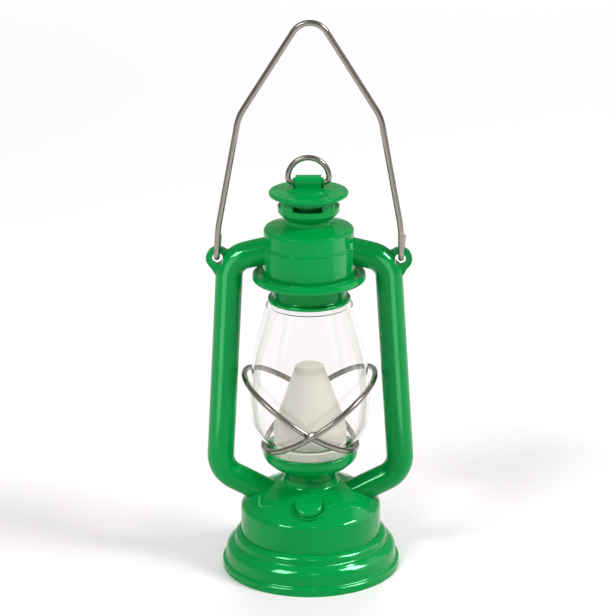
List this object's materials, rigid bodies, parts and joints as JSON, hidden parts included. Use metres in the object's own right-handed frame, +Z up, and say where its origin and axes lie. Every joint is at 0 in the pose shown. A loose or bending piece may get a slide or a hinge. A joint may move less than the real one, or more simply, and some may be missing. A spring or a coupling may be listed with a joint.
{
  "type": "battery lantern",
  "caption": "Small battery table lantern shaped like a tubular oil lamp: stepped foot, round tank, clear globe with cone diffuser, vented hood, side tubes and a wire carrying bail.",
  "frame": {"origin": "centre of the foot at the height it stands on, bottom centre of the bounding box", "axes": "+Z up along the lamp's axis, -Y to the front where the push button is, +X to the right"},
  "size_m": [0.0882, 0.0762, 0.2395],
  "materials": {
    "green_plastic": "glossy moulded ABS",
    "clear_plastic": "clear moulded polystyrene, polished",
    "frosted_plastic": "frosted off-white polypropylene, satin",
    "nickel_wire": "nickel-plated drawn wire, satin",
    "white_plastic": "white moulded plastic",
    "black_plastic": "black moulded plastic",
    "dark_green_plastic": "green moulded ABS, fine matt texture",
    "board": "fibreglass circuit board with solder mask",
    "lamp_epoxy": "clear epoxy lamp body",
    "screw_steel": "zinc-plated",
    "contact_steel": "nickel-plated spring strip",
    "cell_jacket": "plain shrink sleeve over steel can",
    "lead_red": "PVC insulation",
    "lead_black": "PVC insulation"
  },
  "bodies": {
    "lantern": {"foot_skirt": "green_plastic", "fuel_tank": "green_plastic", "burner_cup": "green_plastic", "globe": "clear_plastic", "flame_diffuser": "frosted_plastic", "reflector_plate": "white_plastic", "led_board": "board", "led_lamp": "lamp_epoxy", "led_leads": "contact_steel", "guard_hoop_outer": "nickel_wire", "guard_hoop_inner": "nickel_wire", "globe_collar": "green_plastic", "hood_lower": "green_plastic", "hood_upper": "green_plastic", "vent_crown": "green_plastic", "hat_cap": "green_plastic", "switch_body": "black_plastic", "switch_bracket": "dark_green_plastic", "switch_screws": "screw_steel", "base_plate": "dark_green_plastic", "base_screws": "screw_steel", "hood_screws": "screw_steel", "battery_door": "dark_green_plastic", "door_screws": "screw_steel", "contact_plates": "contact_steel", "contact_springs": "contact_steel", "lead_box_to_switch": "lead_red", "lead_switch_to_lamp": "lead_red", "lead_lamp_to_box": "lead_black", "side_tube_left_front": "green_plastic", "side_tube_left_back": "green_plastic", "side_tube_right_front": "green_plastic", "side_tube_right_back": "green_plastic", "battery_cell_1": "cell_jacket", "battery_cell_2": "cell_jacket", "battery_cell_3": "cell_jacket"},
    "bail": {"bail_handle": "nickel_wire"},
    "ring": {"lift_ring": "nickel_wire"},
    "button": {"push_button": "green_plastic", "switch_plunger": "white_plastic"}
  },
  "joints": [
    {"name": "bail_swing", "type": "hinge", "parent": "lantern", "child": "bail", "pos_m": [0, 0, 0.14117], "axis": [1, 0, 0], "range_deg": [-105, 105]},
    {"name": "ring_swing", "type": "hinge", "parent": "lantern", "child": "ring", "pos_m": [0, 0, 0.1704], "axis": [1, 0, 0], "range_deg": [-95, 95]},
    {"name": "button_press", "type": "slide", "parent": "lantern", "child": "button", "axis": [0, 0.4695, -0.8829], "range_m": [0, 0.0015], "stiffness_N_per_m": 600}
  ]
}
